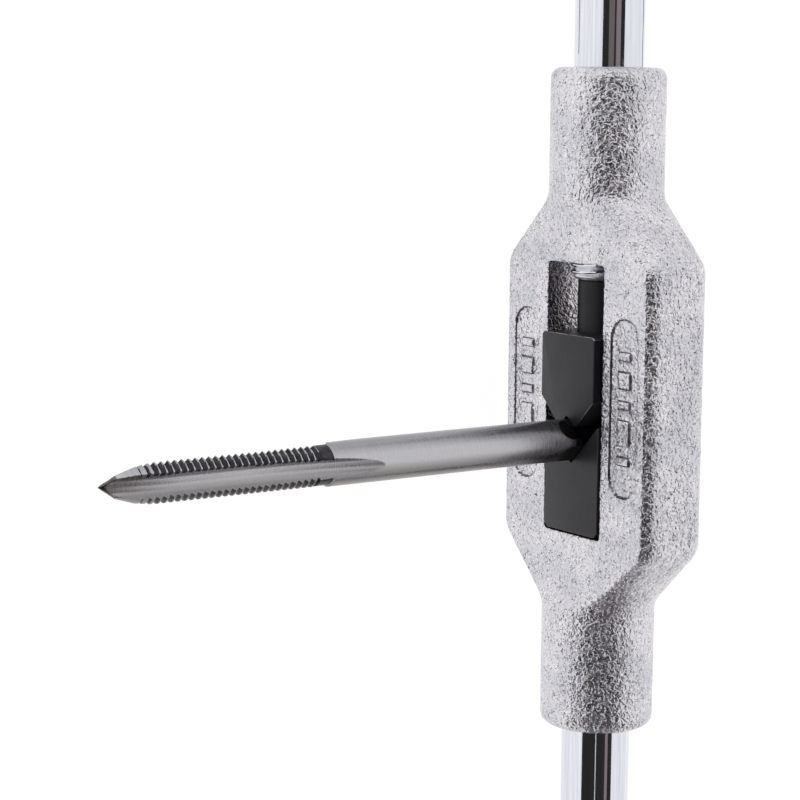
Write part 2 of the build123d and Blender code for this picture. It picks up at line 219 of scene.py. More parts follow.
# ---- materials ----
class Paint:
    """A node material under construction, with coordinates in millimetres."""

    def __init__(self, name, colour, metallic, roughness):
        self.material = bpy.data.materials.new(name)
        self.material.use_nodes = True
        self.material.diffuse_color = (*colour, 1.0)
        self.tree = self.material.node_tree
        self.shader = self.tree.nodes["Principled BSDF"]
        self.shader.inputs["Base Color"].default_value = (*colour, 1.0)
        self.shader.inputs["Metallic"].default_value = metallic
        self.shader.inputs["Roughness"].default_value = roughness
        where = self.tree.nodes.new("ShaderNodeTexCoord")
        self.millimetres = self.tree.nodes.new("ShaderNodeMapping")
        self.millimetres.inputs["Scale"].default_value = (1 / MM, 1 / MM, 1 / MM)
        self.link(where.outputs["Object"], self.millimetres.inputs["Vector"])

    def link(self, source, target):
        self.tree.links.new(source, target)

    def stretched(self, x, y, z):
        """The millimetre coordinates, scaled along each axis."""
        node = self.tree.nodes.new("ShaderNodeMapping")
        node.inputs["Scale"].default_value = (x, y, z)
        self.link(self.millimetres.outputs["Vector"], node.inputs["Vector"])
        return node.outputs["Vector"]

    def noise(self, scale, detail=2.0, rough=0.5, distortion=0.0, vector=None):
        node = self.tree.nodes.new("ShaderNodeTexNoise")
        node.inputs["Scale"].default_value = scale
        node.inputs["Detail"].default_value = detail
        node.inputs["Roughness"].default_value = rough
        node.inputs["Distortion"].default_value = distortion
        self.link(vector or self.millimetres.outputs["Vector"], node.inputs["Vector"])
        return node.outputs["Fac"]

    def gradient(self, axis, start, end):
        """0 at the start and 1 at the end, in millimetres along an axis."""
        node = self.tree.nodes.new("ShaderNodeSeparateXYZ")
        self.link(self.millimetres.outputs["Vector"], node.inputs["Vector"])
        spread = self.tree.nodes.new("ShaderNodeMapRange")
        spread.inputs["From Min"].default_value = start
        spread.inputs["From Max"].default_value = end
        self.link(node.outputs[axis], spread.inputs["Value"])
        return spread.outputs["Result"]

    def ramp(self, source, *stops):
        """A colour ramp through (position, colour) stops; a number is taken as a grey."""
        node = self.tree.nodes.new("ShaderNodeValToRGB")
        ramp = node.color_ramp
        while len(ramp.elements) < len(stops):
            ramp.elements.new(0.5)
        for element, (position, colour) in zip(ramp.elements, stops):
            element.position = position
            grey = isinstance(colour, (int, float))
            element.color = (colour, colour, colour, 1.0) if grey else (*colour, 1.0)
        self.link(source, node.inputs["Fac"])
        return node.outputs["Color"]

    def mix(self, factor, first, second, blend="MIX"):
        node = self.tree.nodes.new("ShaderNodeMix")
        node.data_type = "RGBA"
        node.blend_type = blend
        for socket, value in (("Factor_Float", factor), ("A_Color", first), ("B_Color", second)):
            target = next(s for s in node.inputs if s.identifier == socket)
            if isinstance(value, bpy.types.NodeSocket):
                self.link(value, target)
            elif socket == "Factor_Float":
                target.default_value = value
            else:
                target.default_value = (*value, 1.0)
        return next(s for s in node.outputs if s.identifier == "Result_Color")

    def colour(self, source):
        self.link(source, self.shader.inputs["Base Color"])

    def roughness(self, source):
        self.link(source, self.shader.inputs["Roughness"])

    def clouds(self, scale, colours, roughnesses=(), detail=3.0):
        """Lets the colour, and the roughness where stops are given, drift in soft clouds."""
        cloud = self.noise(scale, detail=detail)
        self.colour(self.ramp(cloud, *colours))
        if roughnesses:
            self.roughness(self.ramp(cloud, *roughnesses))
        return cloud

    def bump(self, source, height, strength=1.0, after=None):
        """Adds relief of the given height in millimetres, on top of an earlier bump."""
        node = self.tree.nodes.new("ShaderNodeBump")
        node.inputs["Distance"].default_value = height * MM
        node.inputs["Strength"].default_value = strength
        self.link(source, node.inputs["Height"])
        if after is not None:
            self.link(after, node.inputs["Normal"])
        self.link(node.outputs["Normal"], self.shader.inputs["Normal"])
        return node.outputs["Normal"]


def cast_wrinkle(paint):
    """The wormy wrinkles of the cast skin, and short lines of painted shade that wind between some of them.
    """
    wrinkle = paint.noise(1.7, detail=1.2, rough=0.6, distortion=0.7)
    fine = paint.noise(2.3, detail=1.0, distortion=0.9)
    # Painted shade: thin dark lines, multiplied into the colour, for the shade held between the wrinkles.
    painted_crease_shade = paint.ramp(fine, (0.43, 1.0), (0.47, 0.07), (0.49, 0.07), (0.53, 1.0))
    clean = paint.ramp(paint.noise(1.3, detail=1.0), (0.43, 0.0), (0.55, 0.9))
    return wrinkle, paint.mix(clean, painted_crease_shade, (0.88, 0.88, 0.88))


def cast_metal():
    """As-cast light alloy: lilac grey, wrinkled like orange peel, with fine lines of painted shade between
    the wrinkles.
    """
    paint = Paint("cast_metal", (0.80, 0.78, 0.83), 1.0, 0.28)
    wrinkle, lines = cast_wrinkle(paint)
    mottle = paint.noise(0.17, detail=1.0)
    light = paint.ramp(mottle, (0.36, (0.71, 0.705, 0.765)), (0.64, (0.84, 0.82, 0.865)))
    # The wrinkle lines multiplied in here are painted shade.
    paint.colour(paint.mix(1.0, light, lines, "MULTIPLY"))
    paint.roughness(paint.ramp(paint.noise(1.1), (0.3, 0.22), (0.7, 0.34)))
    coarse = paint.bump(paint.noise(0.75, detail=1.0), 0.12)
    paint.bump(wrinkle, 0.34, 1.0, coarse)
    return paint.material


def shaded_window_wall():
    """The casting inside its window, with painted shade: dark towards the front, lighter at the back."""
    paint = Paint("shaded_window_wall", (0.60, 0.58, 0.60), 1.0, 0.35)
    wrinkle, lines = cast_wrinkle(paint)
    # Painted shade on the window's walls, darkest at the front of the window and light at its back; the
    # wrinkle lines are painted shade too.
    depth = paint.gradient("Y", -5.5, 5.5)
    light = paint.ramp(
        depth, (0.0, (0.26, 0.23, 0.26)), (0.15, (0.37, 0.34, 0.37)),
        (0.28, (0.58, 0.54, 0.58)), (0.38, (0.98, 0.94, 0.98)), (1.0, (1.0, 0.97, 1.0)),
    )
    paint.colour(paint.mix(1.0, light, lines, "MULTIPLY"))
    paint.bump(wrinkle, 0.34)
    return paint.material


def painted_edge_shade():
    """Dark grey painted shade for the steep edges of the cast panels and of their bars."""
    paint = Paint("painted_edge_shade", (0.12, 0.11, 0.125), 1.0, 0.45)
    colours = [(0.35, (0.05, 0.045, 0.055)), (0.65, (0.24, 0.22, 0.25))]
    paint.bump(paint.clouds(1.4, colours, detail=2.0), 0.1)
    return paint.material


def polished_chrome():
    """Polished chrome plate with a trace of handling haze."""
    paint = Paint("polished_chrome", (0.72, 0.74, 0.79), 1.0, 0.05)
    haze = paint.noise(0.35, detail=3.0)
    paint.roughness(paint.ramp(haze, (0.35, 0.03), (0.75, 0.10)))
    streak = paint.noise(1.0, detail=2.0, vector=paint.stretched(0.08, 2.5, 2.5))
    paint.colour(paint.ramp(streak, (0.3, (0.66, 0.68, 0.74)), (0.7, (0.78, 0.80, 0.85))))
    paint.bump(streak, 0.004, 0.3)
    return paint.material


def black_oxide(name, specular):
    """Ground steel blackened in an oxide bath, slightly satin, with fine grinding lines."""
    paint = Paint(name, (0.012, 0.012, 0.015), 0.0, 0.42)
    paint.shader.inputs["Specular IOR Level"].default_value = specular
    grain = paint.noise(1.0, detail=3.0, vector=paint.stretched(0.5, 6.0, 6.0))
    cloud = paint.noise(0.35, detail=2.0)
    paint.colour(paint.ramp(cloud, (0.3, (0.006, 0.006, 0.009)), (0.7, (0.011, 0.010, 0.014))))
    paint.roughness(paint.ramp(grain, (0.3, 0.36), (0.7, 0.48)))
    paint.bump(grain, 0.012, 0.5)
    return paint.material


def shaded_black_oxide():
    """Painted shade: a darker, slightly blue copy of the black oxide for the blackened parts' sides."""
    paint = Paint("shaded_black_oxide", (0.004, 0.004, 0.007), 0.0, 0.5)
    paint.shader.inputs["Specular IOR Level"].default_value = 0.22
    colours = [(0.3, (0.003, 0.003, 0.006)), (0.7, (0.006, 0.006, 0.010))]
    paint.bump(paint.clouds(0.5, colours, [(0.3, 0.44), (0.7, 0.56)]), 0.01, 0.5)
    return paint.material


def edge_highlight_steel():
    """Painted highlight: lighter grey steel along the jaws' broken edges."""
    paint = Paint("edge_highlight_steel", (0.30, 0.30, 0.31), 1.0, 0.35)
    paint.clouds(1.6, [(0.35, (0.06, 0.06, 0.065)), (0.55, (0.36, 0.36, 0.37))])
    return paint.material


def ground_steel():
    """Fine-ground tool steel with soft marks round the shank, and painted shade across it: darker at its -X
    side, darkest and browner towards the fixed handle.
    """
    paint = Paint("ground_steel", (0.50, 0.49, 0.50), 1.0, 0.30)
    rings = paint.noise(1.0, detail=3.0, vector=paint.stretched(0.35, 5.0, 0.35))
    # Painted shade and reflection across the tap: darker at -X, light in the middle, darkest and browner
    # towards +X.
    across = paint.gradient("X", -3.0, 3.0)
    painted_side_shade = paint.ramp(
        across, (0.05, (0.31, 0.31, 0.33)), (0.3, (0.52, 0.515, 0.54)),
        (0.52, (0.53, 0.52, 0.535)), (0.72, (0.27, 0.262, 0.265)), (0.92, (0.24, 0.225, 0.22)),
    )
    fine = paint.ramp(rings, (0.3, 0.90), (0.7, 1.03))
    paint.colour(paint.mix(1.0, painted_side_shade, fine, "MULTIPLY"))
    paint.roughness(paint.ramp(rings, (0.3, 0.24), (0.7, 0.34)))
    paint.bump(rings, 0.006, 0.5)
    return paint.material


def shaded_tap_steel():
    """Dark steel, mostly painted shade: in the roots of the tap's thread and on its square and end in the
    jaws; the plain band by the thread is dark with it.
    """
    paint = Paint("shaded_tap_steel", (0.04, 0.04, 0.045), 1.0, 0.38)
    colours = [(0.3, (0.022, 0.022, 0.027)), (0.75, (0.075, 0.072, 0.078))]
    paint.clouds(0.9, colours, [(0.3, 0.28), (0.7, 0.45)])
    return paint.material


def bright_thread_steel():
    """The turned steel of the adjusting screw, bare and a little dull between its crests."""
    paint = Paint("bright_thread_steel", (0.80, 0.78, 0.82), 1.0, 0.34)
    colours = [(0.3, (0.62, 0.60, 0.64)), (0.7, (0.92, 0.90, 0.94))]
    paint.clouds(0.8, colours, [(0.3, 0.28), (0.7, 0.42)])
    return paint.material


def heat_tinted_steel():
    """The point of the tap, brown from grinding."""
    paint = Paint("heat_tinted_steel", (0.15, 0.12, 0.11), 1.0, 0.35)
    colours = [(0.3, (0.09, 0.075, 0.07)), (0.7, (0.22, 0.19, 0.18))]
    paint.clouds(0.8, colours, [(0.3, 0.30), (0.7, 0.42)])
    return paint.material


def drawn_steel():
    """Bright drawn pin steel."""
    paint = Paint("drawn_steel", (0.45, 0.45, 0.46), 1.0, 0.30)
    paint.clouds(0.9, [(0.3, (0.38, 0.38, 0.39)), (0.7, (0.50, 0.50, 0.51))], detail=2.0)
    return paint.material


# ---- body casting ----
SECTION_STEPS = 33
OUTLINE_STEPS = 60
FLAT_STAYS_FLAT = 5        # how late along a shoulder the flat face begins to curve
ANGLE_STEPS = 181
SHOULDER_EASE = 0.14       # rounding where the shoulder meets the box and the neck, as a share of it


def quarter_outline(blend):
    """(y, z) points of a quarter of the body's section: 0 is the box, 1 the round neck."""
    half_y = BODY_THICKNESS / 2
    radius = BODY_CORNER_RADIUS
    third = np.linspace(0, 1, OUTLINE_STEPS)
    start = math.radians(BODY_CORNER_START)
    corner = start + third * (math.pi / 2 - start)
    flat_z = BODY_HALF_WIDTH - radius + radius * math.sin(start)
    flat = np.stack([np.full(OUTLINE_STEPS, half_y), third * flat_z], axis=1)
    round_y = half_y - radius * math.cos(start) + radius * np.cos(corner)
    round_z = BODY_HALF_WIDTH - radius + radius * np.sin(corner)
    side = np.stack([(1 - third) * round_y[-1], np.full(OUTLINE_STEPS, BODY_HALF_WIDTH)], axis=1)
    box = np.concatenate([flat, np.stack([round_y, round_z], axis=1), side])
    stops = np.radians([0, FLAT_HALF_ANGLE, CORNER_HALF_ANGLE, 90])
    turn = np.concatenate([np.interp(third, [0, 1], stops[i:i + 2]) for i in range(3)])
    neck = NECK_RADIUS * np.stack([np.cos(turn), np.sin(turn)], axis=1)
    chord_y = NECK_RADIUS * math.cos(stops[1])
    flat_part = neck[:OUTLINE_STEPS, 0]
    neck[:OUTLINE_STEPS, 0] = chord_y + (flat_part - chord_y) * blend ** FLAT_STAYS_FLAT
    return box * (1 - blend) + neck * blend


def section_table():
    """The section's radius for each blend and each direction between the flat and the side."""
    angles = np.linspace(0, math.pi / 2, ANGLE_STEPS)
    rows = []
    for blend in np.linspace(0, 1, SECTION_STEPS):
        outline = quarter_outline(blend)
        turn = np.arctan2(outline[:, 1], outline[:, 0])
        rows.append(np.interp(angles, turn, np.hypot(outline[:, 0], outline[:, 1])))
    return np.array(rows)


SECTION_TABLE = section_table()


def soft_clamp(value, width):
    """value held between 0 and 1, with rounded corners."""
    low = np.clip(value + width, 0, 2 * width)
    high = np.clip(value - 1 + width, 0, 2 * width)
    eased = low ** 2 / (4 * width) + np.clip(value - width, 0, None)
    return eased - high ** 2 / (4 * width) - np.clip(value - 1 - width, 0, None)


def smooth_max(first, second, width):
    """The larger of two distances, with a rounded edge where they meet."""
    rounding = np.clip(width - np.abs(first - second), 0, None) ** 2 / (4 * width)
    return np.maximum(first, second) + rounding


def outer_field(points):
    """How far points lie outside the body's outer skin, unscaled."""
    out = np.abs(points[:, 0] - BODY_CENTRE_X) - BOX_HALF_LENGTH
    blend = np.clip(soft_clamp(out / SHOULDER_LENGTH, SHOULDER_EASE), 0, 1) * (SECTION_STEPS - 1)
    y = np.abs(points[:, 1])
    z = np.abs(points[:, 2])
    turn = np.arctan2(z, y) / (math.pi / 2) * (ANGLE_STEPS - 1)
    row = np.clip(blend.astype(int), 0, SECTION_STEPS - 2)
    column = np.clip(turn.astype(int), 0, ANGLE_STEPS - 2)
    row_part = blend - row
    column_part = turn - column
    near, far = (
        SECTION_TABLE[one_row, column] * (1 - column_part) + SECTION_TABLE[one_row, column + 1] * column_part
        for one_row in (row, row + 1)
    )
    return np.hypot(y, z) - near * (1 - row_part) - far * row_part


def gradient(field, points, reach=0.02):
    """The slope of a field at the points."""
    slope = np.zeros_like(points)
    for axis in range(3):
        step = np.zeros(3)
        step[axis] = reach
        slope[:, axis] = (field(points + step) - field(points - step)) / (2 * reach)
    return slope


PANEL_BARS = (1.2, 2.4, 1.2, 3.6, 1.2)
PANEL_BAR_GAP = 1.6
PANEL_BAR_WIDTH = 2.6
PANEL_BAR_HEIGHT = 0.9        # as a share of the panel's depth
RELIEF_EDGE = 0.24


def panel_relief(points):
    """Depth of the obround panels at the points, less the plain bars that stand in them."""
    x = points[:, 0] - PANEL_CENTRE_X
    z = np.abs(points[:, 2]) - PANEL_OFFSET_Z
    half_run = (PANEL_LENGTH - PANEL_WIDTH) / 2
    inside = PANEL_WIDTH / 2 - np.hypot(np.clip(np.abs(x) - half_run, 0, None), z)
    panel = np.clip(inside / RELIEF_EDGE + 0.5, 0, 1)
    row_length = sum(PANEL_BARS) + PANEL_BAR_GAP * (len(PANEL_BARS) - 1)
    start = -row_length / 2
    bars = np.zeros(len(points))
    for length in PANEL_BARS:
        along = length / 2 - np.abs(x - start - length / 2)
        across = PANEL_BAR_WIDTH / 2 - np.abs(z)
        bars = np.maximum(bars, np.clip(np.minimum(along, across) / RELIEF_EDGE + 0.5, 0, 1))
        start += length + PANEL_BAR_GAP
    return PANEL_DEPTH * panel * (1 - PANEL_BAR_HEIGHT * bars)


FIXED_HANDLE_DEPTH = 20.0
SCREW_BORE_RADIUS = HANDLE_RADIUS + RUNNING_GAP
FIXED_JAW_SPIGOT_RADIUS = 4.0
BORE_EDGE = 0.25
WINDOW_EDGE = 0.35
BEYOND_NECK = 5.0
FLAT_DEPTH = 1.0              # how near the flat a point lies to be part of it


def bore_field(points, radius, x_start, x_end):
    """Distance outside a bore on the handles' axis."""
    across = np.hypot(points[:, 1], points[:, 2]) - radius
    along = np.abs(points[:, 0] - (x_start + x_end) / 2) - abs(x_end - x_start) / 2
    return np.maximum(across, along)


def pin_hole_field(points, node):
    """Distance outside the blind hole, open at the back, that a cross pin sits in."""
    low, high = box_mm(node)
    across = np.hypot(points[:, 0] - (low.x + high.x) / 2, points[:, 2]) - (high.x - low.x) / 2 - FIT_GAP
    return np.maximum(across, low.y - points[:, 1])


def casting_field(points, scale):
    """How far points lie outside the finished casting."""
    skin = outer_field(points) / scale
    flat = np.abs(points[:, 1]) > BODY_THICKNESS / 2 - FLAT_DEPTH
    skin = skin + np.where(flat, panel_relief(points), 0)
    ends = np.abs(points[:, 0] - BODY_CENTRE_X) - BODY_HALF_LENGTH
    solid = smooth_max(skin, ends, NECK_END_ROUNDING)
    half_x = WINDOW_LENGTH / 2 - WINDOW_CORNER_RADIUS
    half_z = WINDOW_WIDTH / 2 - WINDOW_CORNER_RADIUS
    side_x = np.abs(points[:, 0] - WINDOW_CENTRE_X) - half_x
    side_z = np.abs(points[:, 2]) - half_z
    beyond = np.hypot(np.clip(side_x, 0, None), np.clip(side_z, 0, None))
    window = beyond + np.minimum(np.maximum(side_x, side_z), 0) - WINDOW_CORNER_RADIUS
    solid = smooth_max(solid, -window, WINDOW_EDGE)
    fixed_inner_x = BODY_HIGH.x - FIXED_HANDLE_DEPTH
    bores = (
        (SCREW_BORE_RADIUS, BODY_LOW.x - BEYOND_NECK, WINDOW_CENTRE_X),
        (HANDLE_RADIUS + FIT_GAP, fixed_inner_x, BODY_HIGH.x + BEYOND_NECK),
        (FIXED_JAW_SPIGOT_RADIUS + FIT_GAP, WINDOW_CENTRE_X, fixed_inner_x),
    )
    for radius, x_start, x_end in bores:
        solid = smooth_max(solid, -bore_field(points, radius, x_start, x_end), BORE_EDGE)
    for node in ("fixed_jaw_pin", "fixed_handle_pin"):
        solid = smooth_max(solid, -pin_hole_field(points, node), BORE_EDGE)
    return solid


VOXEL = 0.24
PROJECTION_ROUNDS = 6
PROJECTION_LIMIT = 0.25
SKIN_SLOPES = (0.5, 4.0)
LEAST_SLOPE = 0.3
LEAST_NORMAL = 0.1


def casting_mesh():
    """The casting as an even mesh, its vertices drawn onto the exact rounded shape."""
    rough = link_object("rough_casting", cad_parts["body_casting"].data.copy())
    remesh = rough.modifiers.new("even", "REMESH")
    remesh.mode = "VOXEL"
    remesh.voxel_size = VOXEL * MM
    depsgraph = bpy.context.evaluated_depsgraph_get()
    mesh = bpy.data.meshes.new_from_object(rough.evaluated_get(depsgraph))
    bpy.data.objects.remove(rough)
    points = np.empty(len(mesh.vertices) * 3)
    mesh.vertices.foreach_get("co", points)
    points = points.reshape(-1, 3) / MM
    for _ in range(PROJECTION_ROUNDS):
        scale = np.clip(np.linalg.norm(gradient(outer_field, points), axis=1), *SKIN_SLOPES)
        value = casting_field(points, scale)
        slope = gradient(lambda moved: casting_field(moved, scale), points)
        size = np.clip(np.sum(slope ** 2, axis=1), LEAST_SLOPE, None)
        move = np.clip(value / size, -PROJECTION_LIMIT, PROJECTION_LIMIT)
        points -= move[:, None] * slope
    points += cast_ripple(points, scale)
    mesh.vertices.foreach_set("co", (points * MM).ravel())
    mesh.update()
    mesh.materials.clear()
    return mesh


RIPPLE_HEIGHT = 0.05
RIPPLE_SIZE = 1.6
WALL_SKIN = 0.15
CREASE_SLOPE = 0.5
END_CREASE_SHARE = 0.4        # how much a panel's ends count against its long sides
CAST_CREASE = 60.0            # degrees


def cast_ripple(points, scale):
    """Small waves in the cast skin, along its own normals."""
    normal = gradient(lambda moved: casting_field(moved, scale), points)
    normal /= np.clip(np.linalg.norm(normal, axis=1, keepdims=True), LEAST_NORMAL, None)
    wave = np.array([noise.noise(Vector(point) / RIPPLE_SIZE) for point in points])
    return normal * (wave[:, None] * RIPPLE_HEIGHT - RIPPLE_HEIGHT / 2)


def make_body_casting(skin, window_shade, crease):
    """The casting, with painted shade on its window's walls and on its panels' steep edges, each in a
    material of its own.
    """
    finishes = [skin, window_shade, crease]
    piece = finish_piece(
        "cast_body", casting_mesh(), finishes, "frame", "body_casting", CAST_CREASE
    )
    faces = piece.data.polygons
    centres = np.empty(len(faces) * 3)
    faces.foreach_get("center", centres)
    centres = centres.reshape(-1, 3) / MM
    y = np.abs(centres[:, 1])
    in_length = np.abs(centres[:, 0] - WINDOW_CENTRE_X) < WINDOW_LENGTH / 2 + WALL_SKIN
    in_width = np.abs(centres[:, 2]) < WINDOW_WIDTH / 2 + WALL_SKIN
    # The window's walls take the painted shade of the recess.
    shaded_window_face = in_length & in_width & (y < BODY_THICKNESS / 2 - WALL_SKIN)
    slope = gradient(panel_relief, centres)
    beside_bar = np.abs(np.abs(centres[:, 2]) - PANEL_OFFSET_Z) < PANEL_BAR_WIDTH / 2 + RELIEF_EDGE
    around_bar = beside_bar & (np.hypot(slope[:, 0], slope[:, 2]) > CREASE_SLOPE)
    # Painted shade: the bars' edges, and the panel edges that slope one way, take the dark edge material.
    steep = around_bar | (slope[:, 2] + END_CREASE_SHARE * slope[:, 0] > CREASE_SLOPE)
    shaded_panel_edge = steep & (np.abs(y - BODY_THICKNESS / 2) < 2 * PANEL_DEPTH)
    faces.foreach_set("material_index", np.where(shaded_window_face, 1, np.where(shaded_panel_edge, 2, 0)).astype(np.int32))


# ---- handles ----
HANDLE_SEGMENTS = 216
HANDLE_CREASE = 28.0          # degrees
KNURL_TEETH = 36
KNURL_PITCH = 1.5
KNURL_DEPTH = 0.26
KNURL_SHARPNESS = 1.3
KNURL_STATIONS_PER_PITCH = 6
HANDLE_END_ROUNDING = 1.2
HANDLE_FACE_RIM = 1.4
INNER_END_ROUNDING = 0.6
THREAD_STATIONS_PER_TURN = 8
SCREW_THREAD_DEPTH = 0.58
SCREW_GROOVE_DEPTH = 0.38
SCREW_BARE_END = 0.9
SCREW_LEAD = 0.75
SCREW_CREST_FLAT = 1.25
SCREW_START_GAP = 0.2
UNDERCUT_SLOPE = 0.4
STEM_TAIL_LENGTH = 0.4
STEM_TAIL_DEPTH = 0.5


def plain_rows(pairs, segments=HANDLE_SEGMENTS):
    """Stations and constant-radius rows from (station, radius) pairs."""
    stations = np.array([x for x, _ in pairs])
    rows = np.array([radius for _, radius in pairs])[:, None] * np.ones(segments)
    return stations, rows


def knurl_rows(x_start, x_end):
    """Diamond knurling, cut into the bar, that fades out at its two ends."""
    stations = steps(x_start, x_end, KNURL_PITCH / KNURL_STATIONS_PER_PITCH)
    turn = np.linspace(0, 2 * math.pi, HANDLE_SEGMENTS, endpoint=False)
    around = KNURL_TEETH * turn / (2 * math.pi)
    along = stations[:, None] / KNURL_PITCH
    height = np.minimum(saw(around + along), saw(around - along))
    return stations, HANDLE_RADIUS - KNURL_DEPTH * (1 - np.clip(KNURL_SHARPNESS * height, 0, 1))


def grip_rows(end_x, inward):
    """All rows of a handle's outer end, from its face to the inner groove of the knurl."""
    parts = [plain_rows([(end_x, HANDLE_RADIUS - HANDLE_END_ROUNDING - HANDLE_FACE_RIM)])]
    parts.append(plain_rows(round_edge(end_x, HANDLE_RADIUS, HANDLE_END_ROUNDING, inward, count=7)))
    low = HANDLE_RADIUS - GRIP_GROOVE_DEPTH
    groove_a = end_x + inward * GRIP_END_GAP
    knurl_a = groove_a + inward * GRIP_GROOVE_WIDTH
    knurl_b = knurl_a + inward * GRIP_LENGTH
    groove_b = knurl_b + inward * GRIP_GROOVE_WIDTH
    ease = inward * GRIP_GROOVE_DEPTH / 2
    parts.append(plain_rows([(groove_a, HANDLE_RADIUS), (groove_a + ease, low), (knurl_a - ease, low)]))
    parts.append(knurl_rows(knurl_a, knurl_b))
    parts.append(plain_rows([(knurl_b + ease, low), (groove_b - ease, low), (groove_b, HANDLE_RADIUS)]))
    return parts


def screw_rows(x_start, x_end):
    """The adjusting screw's thread, with a run-in at its inner end."""
    stations = steps(x_start, x_end, THREAD_PITCH / THREAD_STATIONS_PER_TURN)
    turn = np.linspace(0, 2 * math.pi, HANDLE_SEGMENTS, endpoint=False)
    rows = thread_radius(stations[:, None], turn, HANDLE_RADIUS, SCREW_THREAD_DEPTH, SCREW_CREST_FLAT)
    lead = HANDLE_RADIUS - SCREW_LEAD + np.clip(np.abs(x_end - stations), 0, SCREW_LEAD)
    return stations, np.minimum(rows, lead[:, None])


def join_rows(parts):
    """One list of stations, and one of rows, from several."""
    stations = np.concatenate([part[0] for part in parts])
    rows = np.concatenate([part[1] for part in parts])
    return stations, rows


def make_adjusting_handle(chrome, groove):
    """Chrome bar with a knurled grip, and the long adjusting screw at its inner end."""
    thread_x = ADJUSTING_HIGH.x - SCREW_THREAD_LENGTH
    undercut_x = thread_x - SCREW_UNDERCUT_LENGTH
    parts = grip_rows(ADJUSTING_LOW.x, 1)
    parts.append(plain_rows([
        (undercut_x - UNDERCUT_SLOPE, HANDLE_RADIUS),
        (undercut_x, SCREW_UNDERCUT_RADIUS),
        (thread_x, SCREW_UNDERCUT_RADIUS),
    ]))
    parts.append(screw_rows(thread_x + SCREW_START_GAP, ADJUSTING_HIGH.x))
    parts.append(plain_rows([
        (ADJUSTING_HIGH.x, HANDLE_RADIUS - SCREW_LEAD),
        (ADJUSTING_HIGH.x, STEM_SPIGOT_RADIUS),
    ]))
    stations, rows = join_rows(parts)
    piece = add_piece(
        "adjusting_bar", *turned_grid("X", stations, rows), [chrome, groove],
        "adjusting_handle", "chrome_bar", "adjusting_handle", HANDLE_CREASE,
    )
    middle_x = (stations[:-1] + stations[1:]) / 2
    deep = (rows[:-1] + rows[1:]) / 2 < HANDLE_RADIUS - SCREW_GROOVE_DEPTH
    in_thread = (middle_x > thread_x)[:, None]
    at_end = (middle_x > ADJUSTING_HIGH.x - SCREW_BARE_END)[:, None]
    give_finishes(piece, np.where((deep & in_thread) | at_end, 1, 0))


def make_fixed_handle(chrome):
    """Chrome bar with a knurled grip, plain where it enters the neck."""
    parts = grip_rows(FIXED_HIGH.x, -1)
    inner = round_edge(FIXED_LOW.x, HANDLE_RADIUS, INNER_END_ROUNDING, 1, count=3)
    parts.append(plain_rows(inner[::-1] + [(FIXED_LOW.x, HANDLE_RADIUS - 2 * INNER_END_ROUNDING)]))
    stations, rows = join_rows(parts)
    add_piece(
        "fixed_bar", *turned_grid("X", stations[::-1], rows[::-1]), [chrome],
        "frame", "chrome_bar", "fixed_handle", HANDLE_CREASE,
    )


def make_swivel_stem(steel):
    """Black turned stem between the screw and the movable jaw, with its retaining groove."""
    radius = STEM_HIGH.z
    half_groove = STEM_GROOVE_WIDTH / 2
    pairs = [
        (STEM_LOW.x, STEM_SPIGOT_RADIUS - STEM_TAIL_DEPTH),
        (STEM_LOW.x + STEM_TAIL_LENGTH, STEM_SPIGOT_RADIUS),
        (ADJUSTING_HIGH.x, STEM_SPIGOT_RADIUS),
        (ADJUSTING_HIGH.x, radius - STEM_EDGE),
        (ADJUSTING_HIGH.x + STEM_EDGE, radius),
        (STEM_GROOVE_X - half_groove, radius),
        (STEM_GROOVE_X - half_groove, STEM_GROOVE_RADIUS),
        (STEM_GROOVE_X + half_groove, STEM_GROOVE_RADIUS),
        (STEM_GROOVE_X + half_groove, radius),
        (STEM_HIGH.x - STEM_TIP_CHAMFER, radius),
        (STEM_HIGH.x, radius - STEM_TIP_CHAMFER),
    ]
    add_piece(
        "stem", *turned_grid("X", *plain_rows(pairs)), [steel],
        "adjusting_handle", "black_steel", "swivel_stem",
    )


# ---- pins ----
PIN_SEGMENTS = 48
PIN_CHAMFER = 0.3


def pin_grid(axis, start, end, radius, centre=(0.0, 0.0, 0.0)):
    """A round pin with a small chamfer at each end."""
    pairs = [(start, radius - PIN_CHAMFER), (start + PIN_CHAMFER, radius)]
    pairs += [(end - PIN_CHAMFER, radius), (end, radius - PIN_CHAMFER)]
    return turned_grid(axis, *plain_rows(pairs, PIN_SEGMENTS), centre)


def make_cross_pin(node, steel):
    """A cross pin in the casting, driven in from the back."""
    low, high = box_mm(node)
    centre = ((low.x + high.x) / 2, 0.0, 0.0)
    pin = pin_grid("Y", low.y, high.y, (high.x - low.x) / 2, centre)
    add_piece(node + "_steel", *pin, [steel], "frame", "plain_steel", node)


def make_retaining_pins(steel):
    """The two pins across the movable jaw that hold the stem by its groove."""
    low, high = box_mm("jaw_retaining_pins")
    radius = (high.x - low.x) / 2
    points = []
    faces = []
    for side in (-1, 1):
        centre = ((low.x + high.x) / 2, side * (high.y - radius), 0.0)
        some_points, some_faces = pin_grid("Z", low.z, high.z, radius, centre)
        offset = len(points)
        points += some_points.tolist()
        faces += [[index + offset for index in face] for face in some_faces]
    add_piece(
        "retaining_pins", points, faces, [steel], "movable_jaw", "plain_steel", "jaw_retaining_pins"
    )


